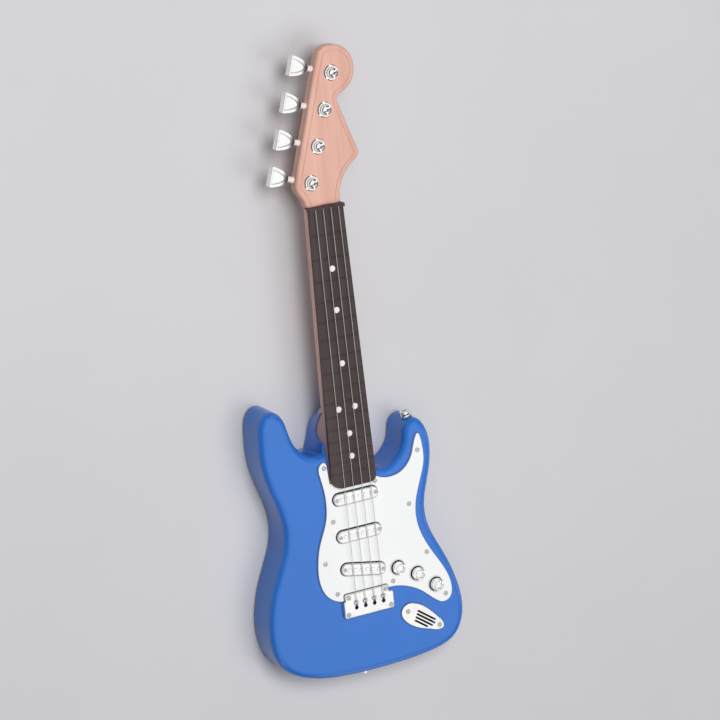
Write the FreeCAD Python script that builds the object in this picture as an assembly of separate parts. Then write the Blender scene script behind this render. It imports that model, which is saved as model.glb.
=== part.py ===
"""Toy electric guitar, four strings, two push-fit body shells, bolted-on neck.

Working frame: x across the strings (treble side +), y along the neck from the
nut (y = 0) towards the headstock, z up from the back of the body.
At the end everything is shifted so that the origin is the bottom centre.
"""
import FreeCAD, Part
import math
import os

V = FreeCAD.Vector

# ---- driving dimensions, mm ----
BODY_THICK = 38.0
WALL = 2.4
EDGE_ROUND = 6.5
BACK_ROUND = 4.0
SPLIT_Z = 12.0          # parting plane between back and front shell
TONGUE = 2.0            # locating tongue of the back shell above the parting plane
GUARD_T = 2.0
GUARD_TOP = BODY_THICK + GUARD_T
FACE_IN = BODY_THICK - WALL

FRET_SCALE = 380.0      # length that sets the fret spacing
FRETS = 16
BOARD_T = 3.6
BOARD_TOP = GUARD_TOP + BOARD_T
BOARD_END = -242.2
HALF_W_NUT = 15.9
HALF_W_END = 21.2
DOT_R = 2.6
DOUBLE_DOT_X = 7.7

NECK_DEPTH = 12.5
NECK_SIDE = 6.2          # height of the neck's upright sides
HEEL_Z = 20.0
HEEL_END = -236.0
TONGUE_END = -262.0
TONGUE_HALF = 18.0
POCKET_GAP = 0.25

SUPPORT_TOP = 34.5      # top of the body's cradle under the neck

HEAD_BOTTOM = 29.2
HEAD_RIM = 40.0
HEAD_PLATE_T = 3.0
HEAD_ROUND = 2.4
GROOVE_IN = 4.2         # line round the headstock's panel
GROOVE_W = 0.8
GROOVE_DEEP = 0.5
POST_ANGLE = math.radians(17.6)
POST_FIRST = V(-9.1, 23.3, 0)
POST_STEP = 31.0
POSTS = 4
POST_TO_EDGE = 14.3     # from the first post to the headstock's edge
EDGE_SPREAD = 0.35      # added at each further post
SHAFT_Z = 34.2
SHAFT_R = 1.5
RUNNING_GAP = 0.05
BUSHING_R = 2.1

STRINGS = 4
STRING_R = 0.25
NUT_SPACING = 7.1
BRIDGE_SPACING = 8.7
BRIDGE_X = 3.3           # middle of the strings at the bridge
BRIDGE_TOP = 42.6
SADDLE_TOP = 44.1
STRING_Z = 45.75
SADDLE_GROOVE = 0.35

PICKUPS = {"neck": (V(0.6, -252.2, 0), 0.0), "middle": (V(0.6, -285.8, 0), 0.0),
           "bridge": (V(1.0, -318.6, 0), -10.9)}
PICKUP_HALF = 15.7
PICKUP_R = 5.5
PICKUP_TOP = 43.0
PICKUP_GAP = 0.75        # dark line round each cover
POLES = 6
POLE_PITCH = 5.6

BUTTONS = [V(34.2, -325.3, 0), V(52.2, -334.9, 0), V(69.1, -348.9, 0)]
BUTTON_R = 5.8
BUTTON_GAP = 0.85
BUTTON_TOP = 44.8
BUTTON_TRAVEL = 2.0

GRILLE_AT = V(53.2, -376.6, 0)
GRILLE_TURN = -33.6
SPEAKER_R = 18.0

AA_R = 7.1
AA_LENGTH = 49.2
TRAY_AT = V(-8.0, -325.0, 0)
TRAY_X, TRAY_Y = 61.0, 49.0
TRAY_TOP = 19.5

BUTTON_BOARD_AT = V(51.3, -337.0, 24.0)
BUTTON_BOARD = (56.0, 21.0, 1.6)
MAIN_BOARD_AT = V(-18.0, -283.0, 12.0)
MAIN_BOARD = (50.0, 30.0, 1.6)

BODY_SCREWS = [(-66, -188), (67, -213), (-58, -270), (75, -322), (84, -387),
               (14, -402), (-60, -394), (-78, -350)]
NECK_SCREWS = [(-11, -241), (11, -241), (-11, -255), (11, -255)]
GUARD_SCREWS = [(-25.5, -222), (20.8, -243.2), (64, -225), (51, -271), (63.5, -318),
                (78, -360), (28.5, -336.6), (-25.2, -335.8), (-33.6, -306.5), (-22.2, -271)]

# Outline of the body, counter-clockwise from the bass cutaway.
BODY_OUTLINE = [(-24, -211), (-33, -211), (-42, -206), (-48.5, -197), (-52.6, -184),
                (-56, -173.2), (-62.5, -166.3), (-70.5, -165.4), (-77, -171.5), (-80.2, -187),
                (-80.5, -206),
                (-76.5, -229), (-69, -253), (-66.4, -270), (-69, -289), (-80, -316),
                (-88.5, -345), (-89.2, -370), (-81, -392), (-58, -407), (-20, -413.8),
                (25, -414.5), (62, -411.5), (86, -402.5), (95.8, -384), (94.5, -357),
                (82, -322), (70.8, -296), (69, -275), (76, -248), (79.5, -225),
                (76.5, -208), (66.5, -197.8), (57, -202.5), (53.5, -216), (45.5, -229),
                (33, -235.5), (20, -232.5), (0, -221)]
GUARD_BASS = [(-23, -220.5), (-25.5, -217.3), (-29.2, -219.5), (-29.9, -229), (-27.4, -243),
              (-26.8, -256), (-28.6, -269), (-36.8, -290), (-40.4, -307), (-39.9, -324),
              (-34.2, -336.2), (-27.3, -341.4), (-18.6, -343.6)]
GUARD_TREBLE = [(22.5, -341), (31, -341.4), (42, -344.4), (56, -352.5), (68.5, -363.5),
                (75.5, -366.7), (82, -364), (84.4, -356), (80.8, -340.5), (67, -315.5),
                (58.5, -295.5), (56.6, -277), (61.5, -257.5), (67.8, -240), (68.9, -222),
                (65.2, -210.4), (62.6, -214.6), (57.9, -228.4), (48, -239.8), (34.6, -243),
                (21.4, -238.6)]


# Outline of the headstock, counter-clockwise from the treble side of the nut.
HEAD_OUTLINE = [(13.8, 2.2), (15.7, 4.0), (16.3, 10), (18.0, 17), (21.8, 25), (26.7, 31),
                (32, 35.4), (35.8, 38.7), (37.3, 42), (36, 47.3), (29.9, 65), (24.2, 82),
                (22.6, 87.4), (22.7, 90.6), (26.2, 93.6), (32, 96.9), (36.6, 101.2), (39.7, 107),
                (40.8, 114), (39.9, 121), (36.2, 127.9), (29.5, 133.2), (20.5, 135.2),
                (14.2, 134.2), (10, 131.3), (7.6, 126.4), (-3.5, 91), (-13.7, 57.5),
                (-22.8, 26.8), (-23.6, 20.8), (-22.2, 16.2), (-18.9, 11.2), (-16.8, 6.4),
                (-15.8, 3.2), (-13.8, 2.1), (-7, 2.0), (7, 2.0)]
# The panel line follows the same edge but runs on past the nut.
GROOVE_OUTLINE = HEAD_OUTLINE[1:-4] + [(-16.2, -4), (-14.5, -11), (0, -12), (14, -11), (15.6, -4)]


# ---- small helpers ----
def cylinder(x, y, z0, z1, r):
    return Part.makeCylinder(r, z1 - z0, V(x, y, z0))


def block(x0, x1, y0, y1, z0, z1):
    return Part.makeBox(x1 - x0, y1 - y0, z1 - z0, V(x0, y0, z0))


def spline(points, closed=False, z=0.0):
    curve = Part.BSplineCurve()
    curve.interpolate([V(x, y, z) for x, y in points], PeriodicFlag=closed)
    return curve


def prism(edges, z0, z1):
    face = Part.Face(Part.Wire(edges))
    face.translate(V(0, 0, z0))
    return face.extrude(V(0, 0, z1 - z0))


def turned(shape, at, degrees):
    shape.rotate(V(0, 0, 0), V(0, 0, 1), degrees)
    shape.translate(at)
    return shape


def stadium(half, r, z0, z1):
    """Slot-shaped solid along x, round ends of radius r."""
    top = Part.LineSegment(V(half, r, 0), V(-half, r, 0))
    left = Part.Arc(V(-half, r, 0), V(-half - r, 0, 0), V(-half, -r, 0))
    low = Part.LineSegment(V(-half, -r, 0), V(half, -r, 0))
    right = Part.Arc(V(half, -r, 0), V(half + r, 0, 0), V(half, r, 0))
    return prism([e.toShape() for e in (top, left, low, right)], z0, z1)


def round_edges(shape, z, r):
    """Fillet of the outline edges that lie wholly at height z."""
    edges = [e for e in shape.Edges
             if abs(e.BoundBox.ZMin - z) < 1e-4 and abs(e.BoundBox.ZMax - z) < 1e-4]
    return shape.makeFillet(r, edges)


def largest(shape):
    """Main solid of a cut shape, without the crumbs left where thin walls run out."""
    return max(shape.Solids, key=lambda solid: solid.Volume)


def revolved(profile, at):
    """Solid of revolution about a vertical axis through `at`; profile is (r, z) pairs."""
    points = [V(r, 0, z) for r, z in profile]
    face = Part.Face(Part.makePolygon(points + points[:1]))
    solid = face.revolve(V(0, 0, 0), V(0, 0, 1), 360)
    solid.translate(V(at.x, at.y, 0))
    return solid


def tube(points, r):
    """Round wire along straight runs joined by tangent arcs."""
    pts = [V(*p) for p in points]
    edges = []
    start = pts[0]
    for before, corner, after in zip(pts, pts[1:], pts[2:]):
        back = (before - corner).normalize()
        on = (after - corner).normalize()
        half = math.acos(max(-1.0, min(1.0, back.dot(on)))) / 2
        room = 0.45 * min((before - corner).Length, (after - corner).Length)
        bend = room * math.tan(half)
        bisector = (back + on).normalize()
        centre = corner + bisector * (bend / math.sin(half))
        first, last = corner + back * room, corner + on * room
        middle = centre - bisector * bend
        edges.append(Part.LineSegment(start, first).toShape())
        edges.append(Part.Arc(first, middle, last).toShape())
        start = last
    edges.append(Part.LineSegment(start, pts[-1]).toShape())
    path = Part.Wire(edges)
    ring = Part.Wire([Part.makeCircle(r, pts[0], (pts[1] - pts[0]).normalize())])
    return path.makePipeShell([ring], True, True)


def screw_set(places, head_z, head_r, head_h, shank_r, shank_down):
    """Pan-head screws pointing down, heads resting at head_z, with a cross slot."""
    solids = []
    for x, y in places:
        head = cylinder(x, y, head_z, head_z + head_h, head_r)
        head = round_edges(head, head_z + head_h, head_h * 0.6)
        arm, depth = head_r * 0.62, head_h * 0.55
        for long_x, long_y in ((arm, 0.22 * head_r), (0.22 * head_r, arm)):
            top = head_z + head_h
            head = head.cut(block(x - long_x, x + long_x, y - long_y, y + long_y,
                                  top - depth, top + 1))
        solids.append(head.fuse(cylinder(x, y, head_z - shank_down, head_z, shank_r)))
    return Part.makeCompound(solids)


# ---- body outline and shells ----
BODY_CURVE = spline(BODY_OUTLINE, closed=True)
HEAD_CURVE = spline(HEAD_OUTLINE, closed=True)
GROOVE_CURVE = spline(GROOVE_OUTLINE, closed=True)


def inset_points(curve, distance, count=160):
    """Points of the curve moved inwards by distance, without the loops at tight corners."""
    first, last = curve.FirstParameter, curve.LastParameter
    rim = [curve.value(first + (last - first) * k / (4 * count)) for k in range(4 * count)]
    moved = []
    for k in range(count):
        u = first + (last - first) * k / count
        t, p = curve.tangent(u)[0], curve.value(u)
        q = V(p.x - t.y * distance, p.y + t.x * distance, 0)
        clear = min(q.distanceToPoint(r) for r in rim) > distance - 0.03
        if clear and (not moved or q.distanceToPoint(moved[-1]) > 0.15 * distance):
            moved.append(q)
    return [(q.x, q.y) for q in moved]


def inset_wire(curve, distance, z):
    return Part.Wire([spline(inset_points(curve, distance), True, z).toShape()])


def quarter(inset, z, r, up, steps=6):
    """(inset, height) pairs of a rounded edge that starts or ends at height z."""
    pairs = []
    for k in range(steps + 1):
        a = math.pi / 2 * k / steps
        pairs.append((inset + r * (1 - math.sin(a)), z - up * r * (1 - math.cos(a))))
    return pairs[::-1] if up > 0 else pairs


def pebble(curve, inset, z0, z1, r_low, r_top):
    """Slab of the outline with rounded bottom and top edges (radius 0 = sharp)."""
    low = quarter(inset, z0, r_low, -1) if r_low else [(inset, z0)]
    top = quarter(inset, z1, r_top, 1) if r_top else [(inset, z1)]
    return Part.makeLoft([inset_wire(curve, d, z) for d, z in low + top], True, True)


def body_band(z0, z1, inset):
    """Prism of the body outline, moved in by inset."""
    return Part.Face(inset_wire(BODY_CURVE, inset, z0)).extrude(V(0, 0, z1 - z0))


def body_front_shell(neck_room):
    outer = pebble(BODY_CURVE, 0, SPLIT_Z, BODY_THICK, 0, EDGE_ROUND)
    room = pebble(BODY_CURVE, WALL, SPLIT_Z - 1, FACE_IN, 0, EDGE_ROUND - WALL)
    groove = body_band(SPLIT_Z - 1, SPLIT_Z + TONGUE + 0.1, WALL / 2 - 0.1)
    shell = outer.cut(room).cut(groove)
    pocket = block(-24.5, 24.5, TONGUE_END - 3, -200, POCKET_FLOOR, BODY_THICK).common(outer)
    bosses = [cylinder(x, y, SPLIT_Z, FACE_IN + 0.5, 3.6) for x, y in BODY_SCREWS]
    along = BUTTONS[2] - BUTTONS[0]
    for share in (0.25, 0.76):
        at = BUTTONS[0] + along * share
        bosses.append(cylinder(at.x, at.y, BUTTON_BOARD_AT.z + 1.6, FACE_IN + 0.5, 1.8))
    bosses += [strap_seat(HORN_STRAP), strap_seat(END_STRAP)]
    boss_room = block(-30, 30, -245, -236.3, SPLIT_Z, POCKET_FLOOR)
    cradle = neck_support(SPLIT_Z, SUPPORT_TOP).cut(heel_window()).cut(groove).cut(boss_room)
    shell = shell.fuse([pocket, cradle] + bosses).cut(neck_room)
    shell = shell.cut(neck_support(SPLIT_Z - 1, HEEL_Z - WALL, WALL))
    cuts = [cylinder(x, y, SPLIT_Z - 1, 24.5, 1.45) for x, y in BODY_SCREWS]
    cuts += [cylinder(x, y, SPLIT_Z, HEEL_Z + 1, 1.6) for x, y in NECK_SCREWS]
    cuts += [cylinder(b.x, b.y, FACE_IN - 1, BODY_THICK + 1, BUTTON_R + BUTTON_GAP)
             for b in BUTTONS]
    cuts += [cylinder(x, y, 33, BODY_THICK + 1, 0.85) for x, y in GUARD_SCREWS]
    cuts += [cylinder(x, y, 33, BODY_THICK + 1, 0.85) for x, y in grille_screw_places()]
    cuts += [cylinder(x, y, 33, BODY_THICK + 1, 0.95) for x, y in bridge_screw_places()]
    cuts.append(turned(stadium(6.5, 6.2, FACE_IN - 1, BODY_THICK + 1), GRILLE_AT, GRILLE_TURN))
    cuts.append(strap_screw_hole(HORN_STRAP))
    cuts.append(strap_screw_hole(END_STRAP))
    return largest(shell.cut(cuts))


POCKET_FLOOR = HEEL_Z - 2 * WALL
# Plan of the cradle under the neck: a rounded nose low down, a squarer one at its top.
SUPPORT_LOW = [(-27, -214), (-23.5, -204), (-21, -196), (-17.6, -189), (-12.5, -183.6),
               (-6, -180.6), (0, -180), (6, -180.6), (12.5, -183.6), (17.6, -189),
               (21, -197), (22.5, -210), (23.5, -228), (20, -238),
               (0, -241), (-20, -238)]
SUPPORT_HIGH = [(-24, -214), (-22.4, -204), (-22, -194), (-21.8, -183), (-20.4, -174.6),
                (-15, -171.6), (0, -171.2), (15, -171.6), (20.4, -174.6), (21.8, -183),
                (22, -197), (22.4, -210), (23.5, -228), (20, -238),
                (0, -241), (-20, -238)]
HEEL_WINDOW = [(-173.2, 40), (-175.4, 34.6), (-180, 29), (-186.3, 23.7), (-191, 20.8),
               (-194.5, 20.0), (-197.4, 21), (-199.7, 23.9), (-202, 30), (-203.4, 40)]


def support_wire(z, inset):
    share = max(0.0, min(1.0, z / SUPPORT_TOP))
    plan = [(a + (c - a) * share, b + (d - b) * share)
            for (a, b), (c, d) in zip(SUPPORT_LOW, SUPPORT_HIGH)]
    # The plan runs clockwise, so a negative distance moves it inwards.
    return inset_wire(spline(plan[::-1], closed=True), inset, z)


def neck_support(z0, z1, inset=0.0):
    """Cradle that carries the neck between the horns; its underside edge is rounded."""
    levels = [(z0, inset), (z1, inset)]
    if z0 == 0:
        levels = quarter_levels(BACK_ROUND, inset) + [(z1, inset)]
    return Part.makeLoft([support_wire(z, d) for z, d in levels], True, True)


def quarter_levels(r, inset):
    return [(z, d) for d, z in quarter(inset, 0.0, r, -1, 3)]


def heel_window():
    """Scoop in the cradle's side walls that shows the neck's heel."""
    edge = Part.BSplineCurve()
    edge.interpolate([V(0, y, z) for y, z in HEEL_WINDOW])
    lid = Part.LineSegment(V(0, *HEEL_WINDOW[-1]), V(0, *HEEL_WINDOW[0]))
    scoop = Part.Face(Part.Wire([edge.toShape(), lid.toShape()])).extrude(V(60, 0, 0))
    scoop.translate(V(-30, 0, 0))
    return scoop


def body_back_shell():
    """Back half with a locating lip that enters the front half's groove."""
    outer = pebble(BODY_CURVE, 0, 0, SPLIT_Z, BACK_ROUND, 0)
    lip = body_band(SPLIT_Z - 1, SPLIT_Z + TONGUE, WALL / 2 + 0.1)
    room = pebble(BODY_CURVE, WALL, WALL, SPLIT_Z + TONGUE + 1, BACK_ROUND - WALL, 0)
    shell = outer.fuse(lip).cut(room)
    cradle = neck_support(0, SPLIT_Z).cut(neck_support(WALL, SPLIT_Z + 1, WALL))
    shell = shell.fuse(cradle.cut(room))
    bosses = [cylinder(x, y, 0.2, SPLIT_Z, 4.4) for x, y in BODY_SCREWS]
    bosses += [cylinder(x, y, 0.2, POCKET_FLOOR - 0.2, 4.4) for x, y in NECK_SCREWS]
    half_x, half_y = MAIN_BOARD[0] / 2 - 3, MAIN_BOARD[1] / 2 - 3
    for sx in (-1, 1):
        for sy in (-1, 1):
            bosses.append(cylinder(MAIN_BOARD_AT.x + sx * half_x, MAIN_BOARD_AT.y + sy * half_y,
                                   1, MAIN_BOARD_AT.z, 2.2))
    bosses.append(block(EAR_AT.x - 6, EAR_AT.x + 6, EAR_AT.y - 9, EAR_AT.y + 1.2, 1, 9))
    shell = shell.fuse(bosses)
    cuts = [cylinder(EAR_AT.x, EAR_AT.y, 0, 10, 2.0), door_plan(DOOR_GAP, -1, WALL + 0.1)]
    for x, y in BODY_SCREWS + NECK_SCREWS:
        cuts.append(cylinder(x, y, -1, 6, 3.3))
        cuts.append(cylinder(x, y, 5, POCKET_FLOOR + 1, 1.6))
    return largest(shell.cut(cuts))


# ---- battery compartment ----
DOOR_Z = 0.2
DOOR_T = 1.9
DOOR_X, DOOR_Y = 57.2, 45.2
DOOR_GAP = 0.4
EAR_R = 4.4
EAR_AT = V(TRAY_AT.x, TRAY_AT.y - 26.0, 0)      # screw end of the door
TAB_X = 14.0
HINGE_Z = DOOR_Z + DOOR_T / 2


def door_plan(grow, z0, z1):
    half_x, half_y = DOOR_X / 2 + grow, DOOR_Y / 2 + grow
    plate = block(TRAY_AT.x - half_x, TRAY_AT.x + half_x, TRAY_AT.y - half_y,
                  TRAY_AT.y + half_y, z0, z1)
    return plate.fuse(cylinder(EAR_AT.x, EAR_AT.y, z0, z1, EAR_R + grow)).removeSplitter()


def battery_door():
    """Plate with a screw ear, a round hinge edge and two tabs that hook inside the shell."""
    cx, edge = TRAY_AT.x, TRAY_AT.y + DOOR_Y / 2
    plate = door_plan(0, DOOR_Z, DOOR_Z + DOOR_T)
    r = DOOR_T / 2
    plate = plate.cut(block(cx - 40, cx + 40, edge - r, edge + 1, -1, 4))
    roll = Part.makeCylinder(r, DOOR_X, V(cx - DOOR_X / 2, edge - r, HINGE_Z), V(1, 0, 0))
    plate = plate.fuse(roll)
    tabs = []
    for side in (-1, 1):
        x = cx + side * TAB_X
        tabs.append(block(x - 4, x + 4, edge - 2.4, edge - 1.0, DOOR_Z + 1, 4.0))
        tabs.append(block(x - 4, x + 4, edge - 2.4, edge + 1.2, 2.9, 4.0))
    grips = [block(cx - 12, cx + 12, TRAY_AT.y - 8.5 + 4 * k, TRAY_AT.y - 7.5 + 4 * k, -1, 0.7)
             for k in range(5)]
    hole = cylinder(EAR_AT.x, EAR_AT.y, -1, 4, 1.3)
    recess = cylinder(EAR_AT.x, EAR_AT.y, -1, 1.1, 2.4)
    return plate.fuse(tabs).cut(grips + [hole, recess])


def battery_door_screw():
    """Captive screw; it stays in the door's ear when the door swings out."""
    x, y = EAR_AT.x, EAR_AT.y
    head = cylinder(x, y, 0.35, 1.1, 2.2)
    for a, b in ((1.4, 0.3), (0.3, 1.4)):
        head = head.cut(block(x - a, x + a, y - b, y + b, 0, 0.75))
    return head.fuse(cylinder(x, y, 1.1, 6.4, 1.2))


def battery_tray():
    cx, cy = TRAY_AT.x, TRAY_AT.y
    outer = block(cx - TRAY_X / 2, cx + TRAY_X / 2, cy - TRAY_Y / 2, cy + TRAY_Y / 2,
                  WALL, TRAY_TOP)
    inner = block(cx - TRAY_X / 2 + 1.5, cx + TRAY_X / 2 - 1.5, cy - TRAY_Y / 2 + 1.5,
                  cy + TRAY_Y / 2 - 1.5, WALL - 1, TRAY_TOP - 1.5)
    tray = outer.cut(inner)
    for k in (-1, 1):
        y = cy + k * CELL_PITCH / 2
        tray = tray.fuse(block(cx - 12, cx + 12, y - 0.3, y + 0.3, 14.5, TRAY_TOP - 1))
    notches = [block(cx + s * TAB_X - 5, cx + s * TAB_X + 5, cy + 20, cy + TRAY_Y / 2 + 1,
                     WALL - 1, 5.0) for s in (-1, 1)]
    return tray.cut(notches)


CELL_PITCH = 15.3
CELL_Z = 10.6


def battery_cell(k):
    """One AA cell along x; neighbours lie head to tail."""
    way = 1 if k % 2 == 0 else -1
    at = V(TRAY_AT.x - way * (AA_LENGTH / 2 + 0.8), TRAY_AT.y + (k - 1) * CELL_PITCH, CELL_Z)
    can = Part.makeCylinder(AA_R, AA_LENGTH, at, V(way, 0, 0))
    nub = Part.makeCylinder(2.7, 1.3, at + V(way * AA_LENGTH, 0, 0), V(way, 0, 0))
    return can.fuse(nub)


def battery_contacts():
    """Nickel plates clipped to the tray's two end walls."""
    plates = []
    for side in (-1, 1):
        x = TRAY_AT.x + side * (TRAY_X / 2 - 1.5 - 0.25)
        for k in range(3):
            y = TRAY_AT.y + (k - 1) * CELL_PITCH
            plates.append(block(x - 0.25, x + 0.25, y - 5, y + 5, CELL_Z - 5.5, CELL_Z + 5.5))
    return Part.makeCompound(plates)


def battery_springs():
    """Tapered coils pressing on each cell's flat end."""
    coils = []
    for k in range(3):
        way = 1 if k % 2 == 0 else -1
        y = TRAY_AT.y + (k - 1) * CELL_PITCH
        wall = TRAY_AT.x - way * (TRAY_X / 2 - 2.0)
        cell_end = TRAY_AT.x - way * (AA_LENGTH / 2 + 0.8)
        gap = abs(cell_end - wall)
        turns = 3
        for n in range(turns):
            share = (n + 0.5) / turns
            x = wall + way * gap * share
            coils.append(Part.makeTorus(4.6 - 1.6 * share, gap / turns / 2 - 0.04,
                                        V(x, y, CELL_Z), V(1, 0, 0)))
    return Part.makeCompound(coils)


# ---- electronics ----
def main_pcb():
    w, h, t = MAIN_BOARD
    at = MAIN_BOARD_AT
    return block(at.x - w / 2, at.x + w / 2, at.y - h / 2, at.y + h / 2, at.z, at.z + t)


def main_pcb_parts():
    """Bonded chip, two capacitors, a resonator and wire posts."""
    at = MAIN_BOARD_AT
    z = at.z + MAIN_BOARD[2]
    chip = Part.makeSphere(9, V(at.x - 6, at.y, z - 6.5))
    chip = chip.common(block(at.x - 20, at.x + 20, at.y - 20, at.y + 20, z, z + 9))
    parts = [chip]
    for dx, dy in ((12, 7), (19, -5)):
        parts.append(cylinder(at.x + dx, at.y + dy, z, z + 6.5, 2.5))
    parts.append(block(at.x + 6, at.x + 12, at.y - 9, at.y - 6, z, z + 3))
    for k in range(4):
        x = at.x - 20 + 4 * k
        parts.append(block(x - 1.1, x + 1.1, at.y + 9.4, at.y + 10.6, z, z + 0.6))
    return Part.makeCompound(parts)


def button_pcb():
    w, h, t = BUTTON_BOARD
    board = block(-w / 2, w / 2, -h / 2, h / 2, 0, t)
    board = turned(board, BUTTON_BOARD_AT, -34.3)
    return board


def button_pads(k):
    """Silicone dome between the board and the button stem."""
    b = BUTTONS[k]
    z = BUTTON_BOARD_AT.z + BUTTON_BOARD[2]
    return revolved([(0, z), (4.5, z), (4.2, z + 1.0), (2.6, z + 3.6), (0, z + 3.6)], b)


def push_button(k):
    """Round cap with a shallow dish, retaining flange and stem."""
    b = BUTTONS[k]
    stem_z = BUTTON_BOARD_AT.z + BUTTON_BOARD[2] + 3.6
    profile = [(0, stem_z), (2.2, stem_z), (2.2, FACE_IN - 2.3), (8.0, FACE_IN - 2.3),
               (8.0, FACE_IN - 0.4), (BUTTON_R, FACE_IN - 0.4), (BUTTON_R, BUTTON_TOP - 1.2),
               (BUTTON_R - 0.35, BUTTON_TOP - 0.35), (BUTTON_R - 1.2, BUTTON_TOP),
               (BUTTON_R - 2.0, BUTTON_TOP), (3.2, BUTTON_TOP - 0.45), (0, BUTTON_TOP - 0.6)]
    return revolved(profile, b)


def speaker_frame():
    z = FACE_IN
    profile = [(15.6, z), (SPEAKER_R, z), (SPEAKER_R, z - 1.6), (16.4, z - 1.6), (9.6, z - 8),
               (9.6, z - 9), (6.0, z - 9), (6.0, z - 8.0), (9.0, z - 7.2), (15.6, z - 0.9)]
    return revolved(profile, GRILLE_AT)


def speaker_cone():
    z = FACE_IN
    profile = [(0, z - 5.6), (4.5, z - 6.4), (8.6, z - 6.6), (13.0, z - 2.2), (14.2, z - 1.4),
               (15.4, z - 1.0), (15.4, z - 0.6), (14.0, z - 0.8), (12.7, z - 1.6),
               (8.4, z - 6.0), (4.5, z - 5.6), (0, z - 4.6)]
    return revolved(profile, GRILLE_AT)


def speaker_magnet():
    z = FACE_IN - 9
    return cylinder(GRILLE_AT.x, GRILLE_AT.y, z - 5.5, z, 8.5)


def wire_pair(routes, r=0.55):
    return Part.makeCompound([tube(route, r) for route in routes])


def battery_wires():
    x0 = TRAY_AT.x - TRAY_X / 2
    routes = []
    for k, z in enumerate((9.0, 15.0)):
        y = TRAY_AT.y + 12 + 3 * k
        end_y = MAIN_BOARD_AT.y - 4 + 6 * k
        routes.append([(x0, y, z), (x0 - 7, y, z), (x0 - 11, y + 12, z + 1),
                       (x0 - 10, end_y - 8, 18), (x0 - 3.2 + k, end_y, 19),
                       (x0 - 3.2 + k, end_y, MAIN_BOARD_AT.z + MAIN_BOARD[2])])
    return wire_pair(routes)


def speaker_wires():
    routes = []
    for k in range(2):
        s = 2.4 * k
        routes.append([(GRILLE_AT.x - SPEAKER_R - 0.05, GRILLE_AT.y + s * 0.5, FACE_IN - 0.8),
                       (29.5 - s, GRILLE_AT.y + s * 0.5, FACE_IN - 0.8), (27.5 - s, -358, 29),
                       (27.5 - s, -338, 24), (27.0 - s, -316, 23),
                       (20.0 - s, -299 + s, 24), (5.0, -293.5 - s, 22),
                       (5.0, -293.5 - s, MAIN_BOARD_AT.z + MAIN_BOARD[2])])
    return wire_pair(routes)


def button_wires():
    """Four leads from the button board to the main board."""
    routes = []
    for k in range(4):
        s = 2.0 * k
        routes.append([(30.0 + s, -316.6 - 0.9 * s, BUTTON_BOARD_AT.z),
                       (30.0 + s, -316.6 - 0.9 * s, 21.5), (25.0 + s * 0.6, -301 + s, 21.5),
                       (14.0 + s * 0.5, -283 + s, 21), (4.2, -277.5 + s, 19),
                       (4.2, -277.5 + s, MAIN_BOARD_AT.z + MAIN_BOARD[2])])
    return wire_pair(routes, 0.45)


# ---- face plates ----
def guard_edges():
    bass, treble = spline(GUARD_BASS), spline(GUARD_TREBLE)
    low = Part.LineSegment(V(*GUARD_BASS[-1], 0), V(*GUARD_TREBLE[0], 0))
    neck_y = HEEL_END - 1.0
    up_right = Part.LineSegment(V(*GUARD_TREBLE[-1], 0), V(21.4, neck_y, 0))
    across = Part.LineSegment(V(21.4, neck_y, 0), V(-21.8, neck_y, 0))
    up_left = Part.LineSegment(V(-21.8, neck_y, 0), V(*GUARD_BASS[0], 0))
    return [e.toShape() for e in (bass, low, treble, up_right, across, up_left)]


def pickguard():
    plate = prism(guard_edges(), BODY_THICK, GUARD_TOP)
    cuts = [turned(stadium(PICKUP_HALF, PICKUP_R + PICKUP_GAP, 0, 60), at, turn)
            for at, turn in PICKUPS.values()]
    cuts.append(bridge_outline(0.35, 0, 60))
    cuts += [cylinder(b.x, b.y, 0, 60, BUTTON_R + BUTTON_GAP) for b in BUTTONS]
    cuts += [cylinder(x, y, 0, 60, 0.85) for x, y in GUARD_SCREWS]
    rings = []
    for b in BUTTONS:
        ring = cylinder(b.x, b.y, GUARD_TOP - 1, GUARD_TOP + 0.5, BUTTON_R + 1.5)
        rings.append(round_edges(ring, GUARD_TOP + 0.5, 0.4))
    return plate.fuse(rings).cut(cuts)


def pickguard_screws():
    return screw_set(GUARD_SCREWS, GUARD_TOP, 1.9, 0.8, 0.8, 5.5)


def pickup_cover(name):
    at, turn = PICKUPS[name]
    cover = stadium(PICKUP_HALF, PICKUP_R, BODY_THICK, PICKUP_TOP)
    cover = round_edges(cover, PICKUP_TOP, 1.1)
    cover = cover.cut(stadium(PICKUP_HALF, PICKUP_R - 1.4, BODY_THICK - 1, PICKUP_TOP - 1.4))
    holes = [cylinder(x, 0, 30, 60, 1.55) for x in pole_offsets()]
    holes += [cylinder(x, 0, 30, 60, 0.75) for x in (-18.4, 18.4)]
    return turned(cover.cut(holes), at, turn)


def pole_offsets():
    return [(k - (POLES - 1) / 2) * POLE_PITCH for k in range(POLES)]


def pickup_pole_pieces():
    """Low round slugs standing a little proud of each cover."""
    slugs = []
    for at, turn in PICKUPS.values():
        for x in pole_offsets():
            slug = cylinder(x, 0, PICKUP_TOP - 1.4, PICKUP_TOP + 0.25, 1.5)
            slugs.append(turned(slug, at, turn))
    return Part.makeCompound(slugs)


def pickup_screws():
    places = []
    for at, turn in PICKUPS.values():
        a = math.radians(turn)
        for x in (-18.4, 18.4):
            places.append((at.x + x * math.cos(a), at.y + x * math.sin(a)))
    return screw_set(places, PICKUP_TOP, 1.5, 0.6, 0.7, 4.0)


def rounded_rectangle(x0, x1, y0, y1, r, z0, z1):
    slab = block(x0, x1, y0, y1, z0, z1)
    uprights = [e for e in slab.Edges if e.BoundBox.ZLength > 1e-3]
    return slab.makeFillet(r, uprights)


BRIDGE_HEAD = (1.6, 21.2, -337.6, -346.0)     # middle, half width, upper and lower y
BRIDGE_FOOT = (2.8, 24.0, -343.6, -359.6)
SADDLE_Y = -346.4
SADDLE_HALF = 1.7


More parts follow.
